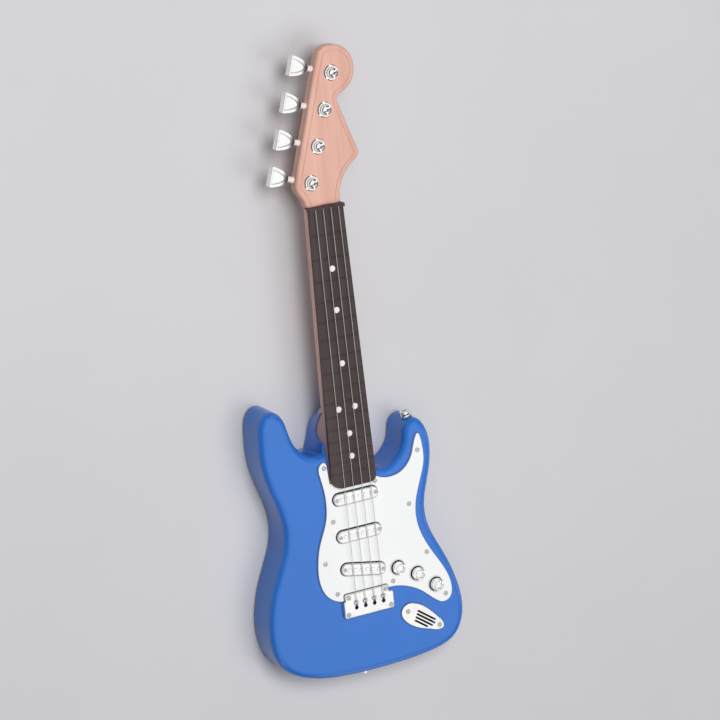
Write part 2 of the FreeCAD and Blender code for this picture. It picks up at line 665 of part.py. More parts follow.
def bridge_outline(grow, z0, z1):
    solids = []
    for middle, half, top, low in (BRIDGE_HEAD, BRIDGE_FOOT):
        solids.append(rounded_rectangle(middle - half - grow, middle + half + grow,
                                        low - grow, top + grow, 2.2, z0, z1))
    return solids[0].fuse(solids[1]).removeSplitter()


def string_x(k, spacing, centre=0.0):
    return centre + (k - (STRINGS - 1) / 2) * spacing


def bridge_screw_places():
    places = []
    for middle, half, y in ((BRIDGE_HEAD[0], 18.0, -340.8), (BRIDGE_FOOT[0], 20.6, -356.2)):
        places += [(middle - half, y), (middle + half, y)]
    return places


def bridge_plate():
    plate = bridge_outline(0, BODY_THICK, BRIDGE_TOP)
    plate = round_edges(plate, BRIDGE_TOP, 1.0)
    saddles = [Part.makeCylinder(SADDLE_TOP - BRIDGE_TOP, 2 * SADDLE_HALF,
                                 V(string_x(k, BRIDGE_SPACING, BRIDGE_X) - SADDLE_HALF, SADDLE_Y,
                                   BRIDGE_TOP), V(1, 0, 0)) for k in range(STRINGS)]
    hollow = rounded_rectangle(BRIDGE_X - 17.4, BRIDGE_X + 17.4, -354.4, -348.4, 1.0,
                               BODY_THICK - 1, BRIDGE_TOP - 1.4)
    plate = plate.fuse(saddles)
    cuts = [hollow]
    for k in range(STRINGS):
        x = string_x(k, BRIDGE_SPACING, BRIDGE_X)
        cuts.append(cylinder(x, -351.0, BRIDGE_TOP - 3, BRIDGE_TOP + 1, 1.8))
        taper = Part.makePolygon([V(x - 1.7, -350.6, 0), V(x + 1.7, -350.6, 0),
                                  V(x + 0.5, -346.9, 0), V(x - 0.5, -346.9, 0),
                                  V(x - 1.7, -350.6, 0)])
        taper = Part.Face(taper).extrude(V(0, 0, 4))
        taper.translate(V(0, 0, BRIDGE_TOP - 3))
        cuts.append(taper)
        cuts.append(block(x - 0.45, x + 0.45, -349, -344, SADDLE_TOP - SADDLE_GROOVE - 0.75,
                          SADDLE_TOP + 1))
        cuts.append(block(x - 0.45, x + 0.45, -349, SADDLE_Y - 0.3, BRIDGE_TOP - 3, SADDLE_TOP))
    cuts += [cylinder(x, y, 0, 60, 0.95) for x, y in bridge_screw_places()]
    return plate.cut(cuts)


def bridge_screws():
    return screw_set(bridge_screw_places(), BRIDGE_TOP, 1.9, 0.7, 0.9, 10.5)


ANCHOR_FRONT = -352.0


def string_anchor():
    """Bar under the bridge that grips the string ends."""
    return block(BRIDGE_X - 16.5, BRIDGE_X + 16.5, ANCHOR_FRONT - 2.2, ANCHOR_FRONT,
                 BODY_THICK, BRIDGE_TOP - 1.5)


def guitar_string(k):
    """Steel string from its notch in the nut, over the bridge and into its hole."""
    nut, end = string_x(k, NUT_SPACING), string_x(k, BRIDGE_SPACING, BRIDGE_X)
    lean = (end - nut) / 348.0
    over = SADDLE_Y - 0.4
    saddle_z = SADDLE_TOP - SADDLE_GROOVE + STRING_R + 0.1
    route = [(nut - lean, 1.4, STRING_Z), (nut - lean * over, over, saddle_z),
             (end, ANCHOR_FRONT + 0.2, BRIDGE_TOP - 3.4)]
    return tube(route, STRING_R)


GRILLE_EGG = [(-21.6, 0), (-18.8, 6.2), (-10, 9.7), (3.5, 9.2), (14.5, 6.4), (21.4, 3.9), (24.4, 0)]
GRILLE_SLOTS = [(3.0, 3.4, 9.6), (3.8, 0.5, 9.8), (3.4, -2.4, 9.0), (1.6, -5.2, 6.6)]


def grille_screw_places():
    a = math.radians(GRILLE_TURN)
    return [(GRILLE_AT.x + u * math.cos(a), GRILLE_AT.y + u * math.sin(a))
            for u in (-15.8, 19.6)]


def grille_plate():
    """Egg-shaped plate with four lengthwise sound slots."""
    loop = GRILLE_EGG + [(u, -v) for u, v in reversed(GRILLE_EGG[1:-1])]
    plate = prism([spline(loop, True).toShape()], BODY_THICK, BODY_THICK + 1.7)
    plate = round_edges(plate, BODY_THICK + 1.7, 0.7)
    slots = []
    for u, v, half in GRILLE_SLOTS:
        slot = stadium(half, 0.9, BODY_THICK - 1, BODY_THICK + 3)
        slots.append(turned(slot, V(u, v, 0), -3.5))
    plate = turned(plate.cut(slots), GRILLE_AT, GRILLE_TURN)
    return plate.cut([cylinder(x, y, 0, 60, 0.85) for x, y in grille_screw_places()])


def grille_screws():
    return screw_set(grille_screw_places(), BODY_THICK + 1.7, 1.9, 0.7, 0.8, 3.8)


# ---- neck ----
def half_width(y):
    return HALF_W_NUT + (HALF_W_END - HALF_W_NUT) * y / BOARD_END


def neck_section(y, grow):
    """U-shaped outline across the neck at y, flat side up, elliptical underneath."""
    w, top = half_width(y) + grow, GUARD_TOP
    side, low = top - NECK_SIDE, top - NECK_DEPTH - grow
    bowl = Part.Ellipse(V(w, y, side), V(0, y, low), V(0, y, side))
    edges = [Part.LineSegment(V(-w, y, top), V(w, y, top)),
             Part.LineSegment(V(w, y, top), V(w, y, side)),
             Part.ArcOfEllipse(bowl, 0, math.pi),
             Part.LineSegment(V(-w, y, side), V(-w, y, top))]
    return Part.Wire([e.toShape() for e in edges])


def neck_bar(grow=0.0):
    """Neck with its heel and the tongue that enters the body."""
    bar = Part.makeLoft([neck_section(8.0, grow), neck_section(HEEL_END - grow, grow)], True, True)
    low = HEEL_Z - grow
    side = [Part.LineSegment(V(0, HEEL_END - grow, GUARD_TOP), V(0, HEEL_END - grow, low)),
            Part.LineSegment(V(0, HEEL_END - grow, low), V(0, -200, low)),
            Part.Arc(V(0, -200, low), V(0, -186, low + 2.4), V(0, -172, low + 9.6)),
            Part.LineSegment(V(0, -172, low + 9.6), V(0, -172, GUARD_TOP)),
            Part.LineSegment(V(0, -172, GUARD_TOP), V(0, HEEL_END - grow, GUARD_TOP))]
    heel = Part.Face(Part.Wire([e.toShape() for e in side])).extrude(V(60, 0, 0))
    heel.translate(V(-30, 0, 0))
    rail = [V(-half_width(-165) - grow, -165, 0), V(half_width(-165) + grow, -165, 0),
            V(half_width(HEEL_END) + grow, HEEL_END - grow, 0),
            V(-half_width(HEEL_END) - grow, HEEL_END - grow, 0)]
    plan = Part.Face(Part.makePolygon(rail + rail[:1])).extrude(V(0, 0, 60))
    tongue = block(-TONGUE_HALF - grow, TONGUE_HALF + grow, TONGUE_END - grow, HEEL_END + 2,
                   low, FACE_IN - 0.6 + grow)
    return bar.fuse([heel.common(plan), tongue])


def post_place(k):
    """k = 0 is the post nearest the nut."""
    along = V(math.sin(POST_ANGLE), math.cos(POST_ANGLE), 0)
    return POST_FIRST + along * (POST_STEP * k)


def shaft_way():
    return V(-math.cos(POST_ANGLE), math.sin(POST_ANGLE), 0)


def edge_gap(k):
    """Distance from post k to the headstock's tuner edge."""
    return POST_TO_EDGE + EDGE_SPREAD * k


def head_slab(curve, inset, z0, z1):
    return Part.Face(inset_wire(curve, inset, z0)).extrude(V(0, 0, z1 - z0))


def neck_shell():
    head = pebble(HEAD_CURVE, 0, HEAD_BOTTOM, HEAD_RIM - HEAD_PLATE_T, 1.8, 0)
    room = head_slab(HEAD_CURVE, WALL, HEAD_BOTTOM + WALL, 60)
    room = room.common(block(-60, 60, 8.5, 160, 0, 60))
    bar = neck_bar()
    bar = bar.cut(block(-30, 30, 2.0, 20, GUARD_TOP - HEAD_PLATE_T, GUARD_TOP + 1))
    neck = bar.fuse(head.cut(room))
    cuts = [block(-11, 11, -226, -6, GUARD_TOP - 8.0, GUARD_TOP + 1),
            block(-15, 15, -232, -201, HEEL_Z + 3, GUARD_TOP + 1),
            block(-6.5, 6.5, TONGUE_END + 3, -231, HEEL_Z + 3, GUARD_TOP + 1)]
    cuts += [cylinder(x, y, HEEL_Z - 1, 30, 1.45) for x, y in NECK_SCREWS]
    for k in range(POSTS):
        start = post_place(k) + V(0, 0, SHAFT_Z)
        cuts.append(Part.makeCylinder(BUSHING_R, 20, start, shaft_way()))
    return neck.cut(cuts)


def headstock_face():
    """Cover of the headstock: rounded rim and a fine groove round its panel."""
    plate = pebble(HEAD_CURVE, 0, HEAD_RIM - HEAD_PLATE_T, HEAD_RIM, 0, HEAD_ROUND)
    plate = plate.cut(block(-60, 60, 0, 3.2, 0, 60))
    low, high = HEAD_RIM - GROOVE_DEEP, HEAD_RIM + 1
    groove = head_slab(GROOVE_CURVE, GROOVE_IN, low, high)
    groove = groove.cut(head_slab(GROOVE_CURVE, GROOVE_IN + GROOVE_W, low - 1, high + 1))
    holes = [cylinder(post_place(k).x, post_place(k).y, 0, 60, 3.1) for k in range(POSTS)]
    return plate.cut([groove] + holes)


POST_SLOT_TURN = 20.0


def tuner_posts():
    """Round washer with a domed, bored and slotted peg, stem pressed through the face."""
    z = HEAD_RIM
    profile = [(0, z - 4.0), (3.05, z - 4.0), (3.05, z), (6.6, z), (6.6, z + 0.7), (6.0, z + 1.2),
               (4.4, z + 1.2), (4.3, z + 4.4), (3.7, z + 5.3), (2.6, z + 5.9), (1.3, z + 6.1),
               (1.3, z + 3.6), (0, z + 3.6)]
    slot = turned(block(-5, 5, -0.5, 0.5, z + 4.4, z + 7), V(0, 0, 0), POST_SLOT_TURN)
    post = revolved(profile, V(0, 0, 0)).cut(slot)
    posts = []
    for k in range(POSTS):
        posts.append(post.copy())
        posts[-1].translate(post_place(k))
    return Part.makeCompound(posts)


def knob_frame(shape, k):
    """Moves a shape drawn along +x from the post axis into place on tuner k."""
    shape.rotate(V(0, 0, 0), V(0, 0, 1), 180.0 - math.degrees(POST_ANGLE))
    shape.translate(post_place(k) + V(0, 0, SHAFT_Z))
    return shape


SNAP_AT, SNAP_LONG = 8.8, 1.4
KNOB_START, KNOB_END = 20.6, 36.8
KNOB_PLAN = [(20.6, 1.7), (21.7, 3.1), (24.4, 5.2), (29.0, 7.2), (33.4, 8.3), (36.8, 8.7)]
KNOB_SIDE = [(20.6, 1.7), (23.2, 2.4), (28.5, 3.0), (36.8, 3.6)]
KNOB_SINK = [(22.8, 0.9), (24.8, 2.9), (28.6, 4.8), (32.4, 5.9), (34.9, 6.3)]
SINK_SLOPE = 5.0        # degrees


def mirrored_plate(half_outline, half_thick, shrink=0.0):
    """Flat solid from a half outline (u, v) mirrored in v."""
    upper = [(u, v - shrink) for u, v in half_outline]
    lower = [(u, -v) for u, v in upper]
    edges = [spline(upper).toShape(), spline(lower).toShape()]
    for a, b in ((upper[0], lower[0]), (upper[-1], lower[-1])):
        edges.append(Part.LineSegment(V(*a, 0), V(*b, 0)).toShape())
    face = Part.Face(Part.Wire(Part.__sortEdges__(edges)))
    face.translate(V(0, 0, -half_thick))
    return face.extrude(V(0, 0, 2 * half_thick))


def tuner_knob(k):
    """Bell-shaped flat knob with sunk panels, on a shaft snapped into the headstock."""
    plan = mirrored_plate(KNOB_PLAN, 8)
    side = mirrored_plate(KNOB_SIDE, 12)
    side.rotate(V(0, 0, 0), V(1, 0, 0), 90)
    bell = plan.common(side)
    ends = [e for e in bell.Edges if e.BoundBox.XMin > KNOB_END - 0.01]
    bell = bell.makeFillet(0.9, ends)
    for up in (1, -1):
        sink = mirrored_plate(KNOB_SINK, 5)
        sink.rotate(V(KNOB_SINK[0][0], 0, 0), V(0, 1, 0), -up * SINK_SLOPE)
        sink.translate(V(0, 0, up * (5 + 1.5)))
        bell = bell.cut(sink)
    inner = SNAP_AT
    shaft = Part.makeCylinder(SHAFT_R, KNOB_START + 1 - inner, V(inner, 0, 0), V(1, 0, 0))
    snap = Part.makeCylinder(2.2, SNAP_LONG, V(inner, 0, 0), V(1, 0, 0))
    return knob_frame(bell.fuse([shaft, snap]), k)


def tuner_bushings():
    """Tapered collars pressed into the headstock's edge."""
    collars = []
    for k in range(POSTS):
        edge, end = edge_gap(k), KNOB_START - 0.5
        spigot = Part.makeCylinder(BUSHING_R, 4.0, V(edge - 3.6, 0, 0), V(1, 0, 0))
        flange = Part.makeCone(2.9, 2.3, end - edge - 0.2, V(edge + 0.2, 0, 0), V(1, 0, 0))
        bore = Part.makeCylinder(SHAFT_R + RUNNING_GAP, 20, V(5, 0, 0), V(1, 0, 0))
        collars.append(knob_frame(spigot.fuse(flange).cut(bore), k))
    return Part.makeCompound(collars)


def fret_y(n):
    return -FRET_SCALE * (1 - 2 ** (-n / 12.0))


def slot_middle(n):
    return (fret_y(n - 1) + fret_y(n)) / 2


def dot_places():
    places = [(0.0, slot_middle(n)) for n in (3, 5, 8, 13, 15)]
    return places + [(x, slot_middle(11)) for x in (-DOUBLE_DOT_X, DOUBLE_DOT_X)]


def fretboard():
    """Tapered board with moulded frets; its body end has rounded corners."""
    w0, w1 = half_width(0), half_width(BOARD_END)
    r_bass, r_treble = 10.5, 6.0
    side_top = V(-half_width(BOARD_END + r_bass), BOARD_END + r_bass, 0)
    treble_top = V(half_width(BOARD_END + r_treble), BOARD_END + r_treble, 0)
    k = 1 - math.sqrt(0.5)
    curves = [Part.LineSegment(V(-w0, 0, 0), side_top),
              Part.Arc(side_top, V(-w1 + r_bass * k, BOARD_END + r_bass * k, 0),
                       V(-w1 + r_bass, BOARD_END, 0)),
              Part.LineSegment(V(-w1 + r_bass, BOARD_END, 0), V(w1 - r_treble, BOARD_END, 0)),
              Part.Arc(V(w1 - r_treble, BOARD_END, 0),
                       V(w1 - r_treble * k, BOARD_END + r_treble * k, 0), treble_top),
              Part.LineSegment(treble_top, V(w0, 0, 0)),
              Part.LineSegment(V(w0, 0, 0), V(-w0, 0, 0))]
    board = prism([c.toShape() for c in curves], GUARD_TOP, BOARD_TOP)
    frets = []
    for n in range(1, FRETS + 1):
        w = half_width(fret_y(n)) - 0.3
        rod = Part.makeCylinder(0.95, 2 * w, V(-w, fret_y(n), BOARD_TOP - 0.35), V(1, 0, 0))
        frets.append(rod)
    board = board.fuse(frets)
    return board.cut([cylinder(x, y, BOARD_TOP - 1.0, BOARD_TOP + 1, DOT_R) for x, y in dot_places()])


def fret_markers():
    return Part.makeCompound([cylinder(x, y, BOARD_TOP - 1.0, BOARD_TOP + 0.12, DOT_R)
                              for x, y in dot_places()])


def nut():
    """Slotted bar at the end of the board."""
    w = half_width(0) + 0.5
    bar = block(-w, w, 0, 3.1, GUARD_TOP - HEAD_PLATE_T, BOARD_TOP + 2.4)
    notches = []
    for k in range(STRINGS):
        x = string_x(k, NUT_SPACING)
        r = STRING_R + 0.03
        notches.append(Part.makeCylinder(r, 9, V(x, -4, STRING_Z), V(0, 1, 0)))
        notches.append(block(x - r, x + r, -4, 5, STRING_Z, 60))
    return bar.cut(block(-w - 1, w + 1, -1, 2.0, 0, GUARD_TOP)).cut(notches)


# ---- strap buttons ----
STRAP_SEAT = 0.5        # height of the flat seat moulded on the shell


def strap_place(x, y, z):
    """Nearest point of the body's side and its outward direction."""
    u = BODY_CURVE.parameter(V(x, y, 0))
    p, t = BODY_CURVE.value(u), BODY_CURVE.tangent(u)[0]
    return V(p.x, p.y, z), V(t.y, -t.x, 0)


HORN_STRAP = strap_place(63.6, -197.7, 25.0)
END_STRAP = strap_place(2.0, -414.5, 19.0)


def strap_seat(strap):
    foot, way = strap
    return Part.makeCylinder(4.9, 3.4 + STRAP_SEAT, foot - way * 3.4, way)


def strap_button(strap):
    """Spool with two discs round a waist."""
    foot, way = strap
    parts = []
    for start, length, r in ((STRAP_SEAT, 1.7, 4.4), (2.0, 1.9, 2.8), (3.8, 1.7, 4.4)):
        parts.append(Part.makeCylinder(r, length, foot + way * start, way))
    spool = parts[0].fuse(parts[1:])
    return spool.cut([Part.makeCylinder(1.25, 20, foot - way * 5, way),
                      Part.makeCylinder(2.1, 3, foot + way * 4.6, way)])


def strap_screw_hole(strap):
    foot, way = strap
    return Part.makeCylinder(1.25, 13, foot - way * 11.5, way)


def strap_button_screws():
    solids = []
    for foot, way in (HORN_STRAP, END_STRAP):
        head = Part.makeCylinder(1.9, 0.7, foot + way * 4.6, way)
        solids.append(head.fuse(Part.makeCylinder(1.2, 14.3, foot - way * 9.6, way)))
    return Part.makeCompound(solids)


def body_screws():
    solids = []
    for x, y in BODY_SCREWS:
        head = cylinder(x, y, 4.2, 6.0, 2.9)
        for a, b in ((1.8, 0.4), (0.4, 1.8)):
            head = head.cut(block(x - a, x + a, y - b, y + b, 4, 5.2))
        solids.append(head.fuse(cylinder(x, y, 6, 22, 1.4)))
    return Part.makeCompound(solids)


def neck_screws():
    solids = []
    for x, y in NECK_SCREWS:
        head = cylinder(x, y, 4.2, 6.0, 2.9)
        for a, b in ((1.8, 0.4), (0.4, 1.8)):
            head = head.cut(block(x - a, x + a, y - b, y + b, 4, 5.2))
        solids.append(head.fuse(cylinder(x, y, 6, 28, 1.4)))
    return Part.makeCompound(solids)


# ---- assembly ----
def build():
    nodes = {"body_front_shell": body_front_shell(neck_bar(POCKET_GAP)),
             "body_back_shell": body_back_shell(),
             "battery_door": battery_door(), "battery_door_screw": battery_door_screw(),
             "battery_tray": battery_tray(), "battery_contacts": battery_contacts(),
             "battery_springs": battery_springs(),
             "main_pcb": main_pcb(), "main_pcb_parts": main_pcb_parts(),
             "button_pcb": button_pcb(),
             "speaker_frame": speaker_frame(), "speaker_cone": speaker_cone(),
             "speaker_magnet": speaker_magnet(),
             "battery_wires": battery_wires(), "speaker_wires": speaker_wires(),
             "button_wires": button_wires(),
             "grille_plate": grille_plate(), "grille_screws": grille_screws(),
             "pickguard": pickguard(), "pickguard_screws": pickguard_screws(),
             "pickup_pole_pieces": pickup_pole_pieces(), "pickup_screws": pickup_screws(),
             "bridge_plate": bridge_plate(), "bridge_screws": bridge_screws(),
             "string_anchor": string_anchor(),
             "neck_shell": neck_shell(), "headstock_face": headstock_face(),
             "fretboard": fretboard(), "fret_markers": fret_markers(), "nut": nut(),
             "tuner_posts": tuner_posts(), "tuner_bushings": tuner_bushings(),
             "strap_button_horn": strap_button(HORN_STRAP),
             "strap_button_end": strap_button(END_STRAP),
             "strap_button_screws": strap_button_screws(),
             "body_screws": body_screws(), "neck_screws": neck_screws()}
    for k in range(3):
        nodes[f"battery_cell_{k + 1}"] = battery_cell(k)
        nodes[f"push_button_{k + 1}"] = push_button(k)
        nodes[f"button_dome_{k + 1}"] = button_pads(k)
    for name in PICKUPS:
        nodes[f"pickup_cover_{name}"] = pickup_cover(name)
    for k in range(4):
        nodes[f"string_{k + 1}"] = guitar_string(k)
        nodes[f"tuner_knob_{k + 1}"] = tuner_knob(k)
    return nodes


NODES = build()
WHOLE = Part.makeCompound(list(NODES.values())).BoundBox
SHIFT = V(-WHOLE.Center.x, -WHOLE.Center.y, -WHOLE.ZMin)

os.makedirs("parts", exist_ok=True)
for node, shape in NODES.items():
    shape.translate(SHIFT)
    shape.exportStep(f"parts/{node}.step")
print(len(NODES), "nodes; size", round(WHOLE.XLength, 2), round(WHOLE.YLength, 2),
      round(WHOLE.ZLength, 2), "shift", SHIFT)
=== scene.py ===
"""Looks of the toy electric guitar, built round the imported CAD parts."""

import bpy
from mathutils import Matrix, Vector

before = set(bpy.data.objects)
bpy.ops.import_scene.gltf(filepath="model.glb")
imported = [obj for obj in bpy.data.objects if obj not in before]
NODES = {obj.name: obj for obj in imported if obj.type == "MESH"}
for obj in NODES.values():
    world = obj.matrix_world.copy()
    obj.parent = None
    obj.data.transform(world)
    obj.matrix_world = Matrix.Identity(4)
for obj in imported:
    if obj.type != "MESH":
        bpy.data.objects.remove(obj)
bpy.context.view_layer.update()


# ---------------------------------------------------------------- camera
CAMERA_LENS, CAMERA_SENSOR = 139.5, 36.0                # mm
CAMERA_CLIP = (0.1, 20.0)                               # m
CAMERA_AT = Vector((-944.55, 603.80, 2124.5)) / 1000.0  # m
CAMERA_BACK = Vector((-0.40472, 0.25152, 0.87917))      # from the guitar towards the camera
CAMERA_UP = Vector((0.19723, 0.96281, -0.18466))


def make_camera():
    """Long lens above the face, a little to the bass side and towards the headstock."""
    data = bpy.data.cameras.new("camera")
    data.lens, data.sensor_width = CAMERA_LENS, CAMERA_SENSOR
    data.clip_start, data.clip_end = CAMERA_CLIP
    cam = bpy.data.objects.new("camera", data)
    bpy.context.scene.collection.objects.link(cam)
    back = CAMERA_BACK.normalized()
    right = CAMERA_UP.cross(back).normalized()
    up = back.cross(right)
    turn = Matrix((right, up, back)).transposed().to_4x4()
    cam.matrix_world = Matrix.Translation(CAMERA_AT) @ turn
    bpy.context.scene.camera = cam


make_camera()


# ---------------------------------------------------------------- materials
class Mat:
    """Small helper that builds a node material round one Principled shader."""

    def __init__(self, name):
        self.mat = bpy.data.materials.new(name)
        self.mat.use_nodes = True
        self.tree = self.mat.node_tree
        self.bsdf = self.tree.nodes["Principled BSDF"]
        self.coord = self.tree.nodes.new("ShaderNodeTexCoord").outputs["Object"]

    def set(self, **values):
        for name, value in values.items():
            self.bsdf.inputs[name.replace("_", " ")].default_value = value
        return self

    def node(self, kind, inputs=None, **props):
        n = self.tree.nodes.new(kind)
        for k, v in props.items():
            setattr(n, k, v)
        for k, v in (inputs or {}).items():
            if hasattr(v, "links"):
                self.tree.links.new(v, n.inputs[k])
            else:
                n.inputs[k].default_value = v
        return n

    def link(self, out, name):
        self.tree.links.new(out, self.bsdf.inputs[name])
        return self

    def noise(self, scale, stretch=(1, 1, 1), detail=4.0, rough=0.55):
        """Object-space noise; scale is in cycles per metre."""
        place = self.node("ShaderNodeMapping", {"Vector": self.coord, "Scale": stretch})
        tex = self.node("ShaderNodeTexNoise", {"Vector": place.outputs[0], "Scale": scale,
                                               "Detail": detail, "Roughness": rough})
        return tex.outputs["Fac"]

    def remap(self, value, low, high, out_low, out_high):
        return self.node("ShaderNodeMapRange", {"Value": value, "From Min": low, "From Max": high,
                                                "To Min": out_low, "To Max": out_high}).outputs[0]

    def ramp(self, value, stops):
        n = self.node("ShaderNodeValToRGB", {"Fac": value})
        while len(n.color_ramp.elements) < len(stops):
            n.color_ramp.elements.new(0.5)
        for e, (at, rgb) in zip(n.color_ramp.elements, stops):
            e.position = at
            e.color = (*rgb, 1)
        return n.outputs["Color"]

    def mix(self, fac, a, b, mode="MIX"):
        n = self.node("ShaderNodeMix", data_type="RGBA", blend_type=mode)
        for socket, v in (("Factor", fac), ("A", a), ("B", b)):
            target = [s for s in n.inputs if s.name == socket and s.enabled][0]
            if hasattr(v, "links"):
                self.tree.links.new(v, target)
            else:
                target.default_value = v if socket == "Factor" else (*v, 1)
        return [s for s in n.outputs if s.enabled][0]

    def bump(self, height, strength, distance=0.001, under=None):
        inputs = {"Height": height, "Strength": strength, "Distance": distance}
        if under is not None:
            inputs["Normal"] = under
        return self.node("ShaderNodeBump", inputs).outputs["Normal"]


def painted_recess_shade(m, colour, dark, reach=0.0016):
    """Painted shade: darkens the colour inside narrow recesses and along the foot of raised parts,
    where ambient occlusion finds them.
    """
    corner = m.node("ShaderNodeAmbientOcclusion", {"Distance": reach}, samples=8)
    open_air = m.remap(corner.outputs["AO"], 0.35, 0.92, 0.0, 1.0)
    return m.mix(open_air, dark, colour)


def scratches(m, scale=90.0):
    """Thin, sparse hairlines as a 0..1 mask."""
    line = m.noise(scale, stretch=(1.0, 14.0, 1.0), detail=2.0)
    fine = m.remap(line, 0.49, 0.505, 0.0, 1.0)
    fine2 = m.remap(line, 0.505, 0.52, 1.0, 0.0)
    both = m.node("ShaderNodeMath", {0: fine, 1: fine2}, operation="MULTIPLY").outputs[0]
    patch = m.remap(m.noise(14.0), 0.55, 0.7, 0.0, 1.0)
    return m.node("ShaderNodeMath", {0: both, 1: patch}, operation="MULTIPLY").outputs[0]


def moulded(name, rgb, rough=0.22, vary=0.05, coat=0.0, peel=0.05, sub=0.0):
    """Injection-moulded plastic: faint flow shading, orange peel, hairline wear and painted shade in
    recesses.
    """
    m = Mat(name)
    dark = tuple(c * (1 - vary) for c in rgb)
    light = tuple(min(1.0, c * (1 + vary)) for c in rgb)
    tone = m.ramp(m.noise(11.0, detail=3.0), [(0.3, dark), (0.7, light)])
    # painted shade: the colour drops to 35 % of itself in recesses and at the foot of raised parts
    m.link(painted_recess_shade(m, tone, tuple(c * 0.35 for c in rgb)), "Base Color")
    grain = m.remap(m.noise(260.0, detail=2.0), 0.3, 0.7, rough * 0.85, rough * 1.2)
    wear = m.node("ShaderNodeMath", {0: scratches(m), 1: 0.18}, operation="MULTIPLY").outputs[0]
    m.link(m.node("ShaderNodeMath", {0: grain, 1: wear}, operation="ADD").outputs[0], "Roughness")
    waves = m.bump(m.noise(55.0, detail=1.0), peel, 0.002)
    m.link(m.bump(m.noise(1400.0, detail=2.0), peel, 0.00006, waves), "Normal")
    m.set(IOR=1.5, Coat_Weight=coat, Coat_Roughness=0.08)
    if sub:
        m.set(Subsurface_Weight=sub, Subsurface_Scale=0.002)
    return m.mat


# Painted shade: the dark grey that plated parts take in recesses and along the foot of raised parts.
PAINTED_RECESS_SHADE_GREY = (0.10, 0.10, 0.105)


def plated(name, rgb=(0.93, 0.925, 0.905), rough=0.07, wave=0.12):
    """Vacuum-plated plastic: mirror with slight waviness, haze, handling marks and painted shade in
    recesses.
    """
    m = Mat(name)
    dull = tuple(c * 0.93 for c in rgb)
    shine = m.ramp(m.noise(70.0), [(0.35, dull), (0.65, rgb)])
    # painted shade: the mirror colour goes to dark grey in recesses, drawing dark contour lines
    m.link(painted_recess_shade(m, shine, PAINTED_RECESS_SHADE_GREY), "Base Color")
    haze = m.remap(m.noise(160.0, detail=6.0), 0.35, 0.75, rough * 0.6, rough * 2.0)
    wear = m.node("ShaderNodeMath", {0: scratches(m, 140.0), 1: 0.2}, operation="MULTIPLY").outputs[0]
    m.link(m.node("ShaderNodeMath", {0: haze, 1: wear}, operation="ADD").outputs[0], "Roughness")
    m.link(m.bump(m.noise(190.0, detail=1.0), wave, 0.0004), "Normal")
    m.set(Metallic=1.0)
    return m.mat


def plain_metal(name, rgb, rough):
    """Plated or zinc-coated steel with a fine frosting."""
    m = Mat(name)
    dull = tuple(c * 0.8 for c in rgb)
    frost = m.noise(900.0, detail=3.0)
    m.link(m.ramp(frost, [(0.3, dull), (0.7, rgb)]), "Base Color")
    m.link(m.remap(frost, 0.3, 0.7, rough * 0.7, rough * 1.4), "Roughness")
    m.link(m.bump(frost, 0.15, 0.0001), "Normal")
    m.set(Metallic=1.0)
    return m.mat


def neck_wood_look(name):
    """Satin pink-tan plastic with a faint printed wood grain along the neck."""
    m = Mat(name)
    flow = m.noise(26.0, stretch=(1.0, 0.07, 1.0), detail=6.0, rough=0.6)
    fine = m.noise(240.0, stretch=(1.0, 0.03, 1.0), detail=3.0)
    base = m.ramp(flow, [(0.32, (0.60, 0.335, 0.265)), (0.5, (0.69, 0.405, 0.325)),
                         (0.68, (0.75, 0.465, 0.38))])
    lines = m.remap(fine, 0.42, 0.62, 0.0, 1.0)
    share = m.node("ShaderNodeMath", {0: lines, 1: 0.22}, operation="MULTIPLY").outputs[0]
    m.link(m.mix(share, base, (0.55, 0.27, 0.20)), "Base Color")
    m.link(m.remap(m.noise(300.0), 0.3, 0.7, 0.34, 0.5), "Roughness")
    under = m.bump(fine, 0.12, 0.0002)
    m.link(m.bump(m.noise(60.0, detail=1.0), 0.06, 0.002, under), "Normal")
    m.set(IOR=1.46, Subsurface_Weight=0.06, Subsurface_Scale=0.002)
    return m.mat


def rosewood_look(name):
    """Dark brown satin plastic with moulded pores along the board."""
    m = Mat(name)
    flow = m.noise(34.0, stretch=(1.0, 0.08, 1.0), detail=6.0, rough=0.65)
    pores = m.noise(420.0, stretch=(1.0, 0.05, 1.0), detail=3.0)
    m.link(m.ramp(flow, [(0.3, (0.036, 0.024, 0.023)), (0.55, (0.055, 0.038, 0.038)),
                         (0.75, (0.078, 0.056, 0.055))]), "Base Color")
    m.link(m.remap(pores, 0.3, 0.7, 0.42, 0.62), "Roughness")
    m.link(m.bump(pores, 0.3, 0.00025), "Normal")
    m.set(IOR=1.45)
    return m.mat


def wound_string(name):
    """Pale steel with the fine turns of a wound string."""
    m = Mat(name)
    turns = m.node("ShaderNodeTexWave", {"Vector": m.coord, "Scale": 560.0, "Distortion": 0.6},
                   wave_type="BANDS", bands_direction="Y")
    m.link(m.ramp(turns.outputs["Fac"], [(0.0, (0.46, 0.45, 0.45)), (1.0, (0.66, 0.65, 0.64))]),
           "Base Color")
    m.link(m.bump(turns.outputs["Fac"], 0.4, 0.0001), "Normal")
    m.link(m.remap(m.noise(300.0), 0.3, 0.7, 0.3, 0.45), "Roughness")
    m.set(Metallic=0.35)
    return m.mat


def circuit_board(name):
    """Green lacquer over copper tracks."""
    m = Mat(name)
    cells = m.node("ShaderNodeTexBrick", {"Vector": m.coord, "Scale": 130.0, "Mortar Size": 0.028,
                                          "Color1": (0.012, 0.10, 0.035, 1),
                                          "Color2": (0.015, 0.12, 0.04, 1),
                                          "Mortar": (0.03, 0.22, 0.07, 1)})
    m.link(cells.outputs["Color"], "Base Color")
    m.link(m.remap(m.noise(500.0), 0.3, 0.7, 0.2, 0.35), "Roughness")
    m.link(m.bump(cells.outputs["Fac"], 0.3, 0.0001), "Normal")
    return m.mat


